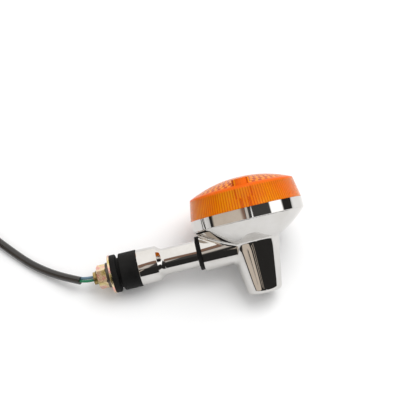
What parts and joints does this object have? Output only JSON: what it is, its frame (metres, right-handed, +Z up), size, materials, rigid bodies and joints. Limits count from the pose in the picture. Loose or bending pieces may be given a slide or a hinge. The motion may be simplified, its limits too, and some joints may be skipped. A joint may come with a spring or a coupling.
{
  "type": "turn signal indicator",
  "caption": "Round motorcycle turn signal with an amber lens, a chrome bullet housing and a rubber-mounted threaded stem, lying on its back edge with its lead.",
  "frame": {"origin": "centre of the lamp's footprint box, on the table it lies on, without its cable", "axes": "+X away from the mounting stud along the stem's plan direction, +Z up, the lens facing +Y and up"},
  "size_m": [0.2795, 0.1146, 0.0745],
  "materials": {
    "chrome": "mirror bright plating",
    "amber": "clear amber, ribbed inside",
    "black_rubber": "matte moulded",
    "zinc_yellow": "yellow iridescent zinc plating",
    "zinc_dark": "dark oiled spring steel",
    "zinc_bright": "bright zinc plating",
    "screw_steel": "bright zinc plating",
    "stud_brass": "yellow zinc plating, worn",
    "reflector_foil": "vacuum metallised",
    "bulb_glass": "clear",
    "bulb_brass": "plain",
    "tungsten": "drawn wire",
    "socket_steel": "plated sheet",
    "phenolic": "pressed board",
    "green_pvc": "smooth insulation",
    "blue_pvc": "smooth insulation",
    "black_pvc": "glossy sleeving",
    "clear_vinyl": "clear vinyl"
  },
  "bodies": {
    "mount": {"stem_tube": "chrome", "stem_gasket": "black_rubber", "stem_washer": "zinc_bright", "stem_nut": "zinc_bright", "mount_stud": "stud_brass", "spacer_sleeve": "zinc_bright", "inner_rubber": "black_rubber", "outer_rubber": "black_rubber", "mount_washer": "zinc_yellow", "stem_green_wire": "green_pvc", "stem_blue_wire": "blue_pvc", "green_wire": "green_pvc", "blue_wire": "blue_pvc", "cable_sheath": "black_pvc", "cable_coil": "black_pvc", "coil_tie": "black_pvc", "green_tail": "green_pvc", "blue_tail": "blue_pvc", "green_bullet": "bulb_brass", "green_sleeve": "clear_vinyl", "blue_bullet": "bulb_brass", "blue_sleeve": "clear_vinyl"},
    "head": {"housing": "chrome", "lens_gasket": "black_rubber", "reflector": "reflector_foil", "socket_shell": "socket_steel", "socket_insulator": "phenolic", "socket_green_wire": "green_pvc", "socket_blue_wire": "blue_pvc"},
    "lens_cover": {"lens": "amber", "lens_screw_seals": "black_rubber"},
    "front_screw": {"lens_screw_front": "screw_steel"},
    "back_screw": {"lens_screw_back": "screw_steel"},
    "bulb": {"bulb_base": "bulb_brass", "bulb_contact": "tungsten", "bulb_glass": "bulb_glass", "bulb_filament": "tungsten"},
    "plunger": {"contact_plunger": "bulb_brass", "contact_spring": "zinc_bright"},
    "clamp_washer": {"lock_washer": "zinc_dark"},
    "clamp_nut": {"mount_nut": "zinc_yellow"}
  },
  "joints": [
    {"name": "head_swivel", "type": "hinge", "parent": "mount", "child": "head", "pos_m": [0.00103, -0.00638, 0.02157], "axis": [-0.9903, 0, -0.1387], "range_deg": [-25, 25]},
    {"name": "lens_lift", "type": "slide", "parent": "head", "child": "lens_cover", "axis": [-0.0684, 0.87, 0.4883], "range_m": [0, 0.03]},
    {"name": "front_screw_turn", "type": "hinge", "parent": "lens_cover", "child": "front_screw", "pos_m": [0.03065, 0.00564, 0.06533], "axis": [-0.0684, 0.87, 0.4883], "continuous": true},
    {"name": "back_screw_turn", "type": "hinge", "parent": "lens_cover", "child": "back_screw", "pos_m": [0.03746, 0.03345, 0.01673], "axis": [-0.0684, 0.87, 0.4883], "continuous": true},
    {"name": "bulb_push", "type": "slide", "parent": "head", "child": "bulb", "axis": [0.0684, -0.87, -0.4883], "range_m": [0, 0.002], "stiffness_N_per_m": 1500, "springref_m": -0.002},
    {"name": "plunger_travel", "type": "slide", "parent": "head", "child": "plunger", "axis": [0.0684, -0.87, -0.4883], "range_m": [0, 0.002]},
    {"name": "nut_back_off", "type": "slide", "parent": "mount", "child": "clamp_washer", "axis": [-0.9903, 0, -0.1387], "range_m": [0, 0.0025]},
    {"name": "nut_turn", "type": "hinge", "parent": "clamp_washer", "child": "clamp_nut", "pos_m": [-0.06354, -0.00638, 0.01253], "axis": [-0.9903, 0, -0.1387], "range_deg": [0, 720]}
  ],
  "couplings": [
    {"joint": "plunger_travel", "follows": "bulb_push", "ratio": 1},
    {"joint": "nut_turn", "follows": "nut_back_off", "rad_per_m": 5026.5}
  ]
}
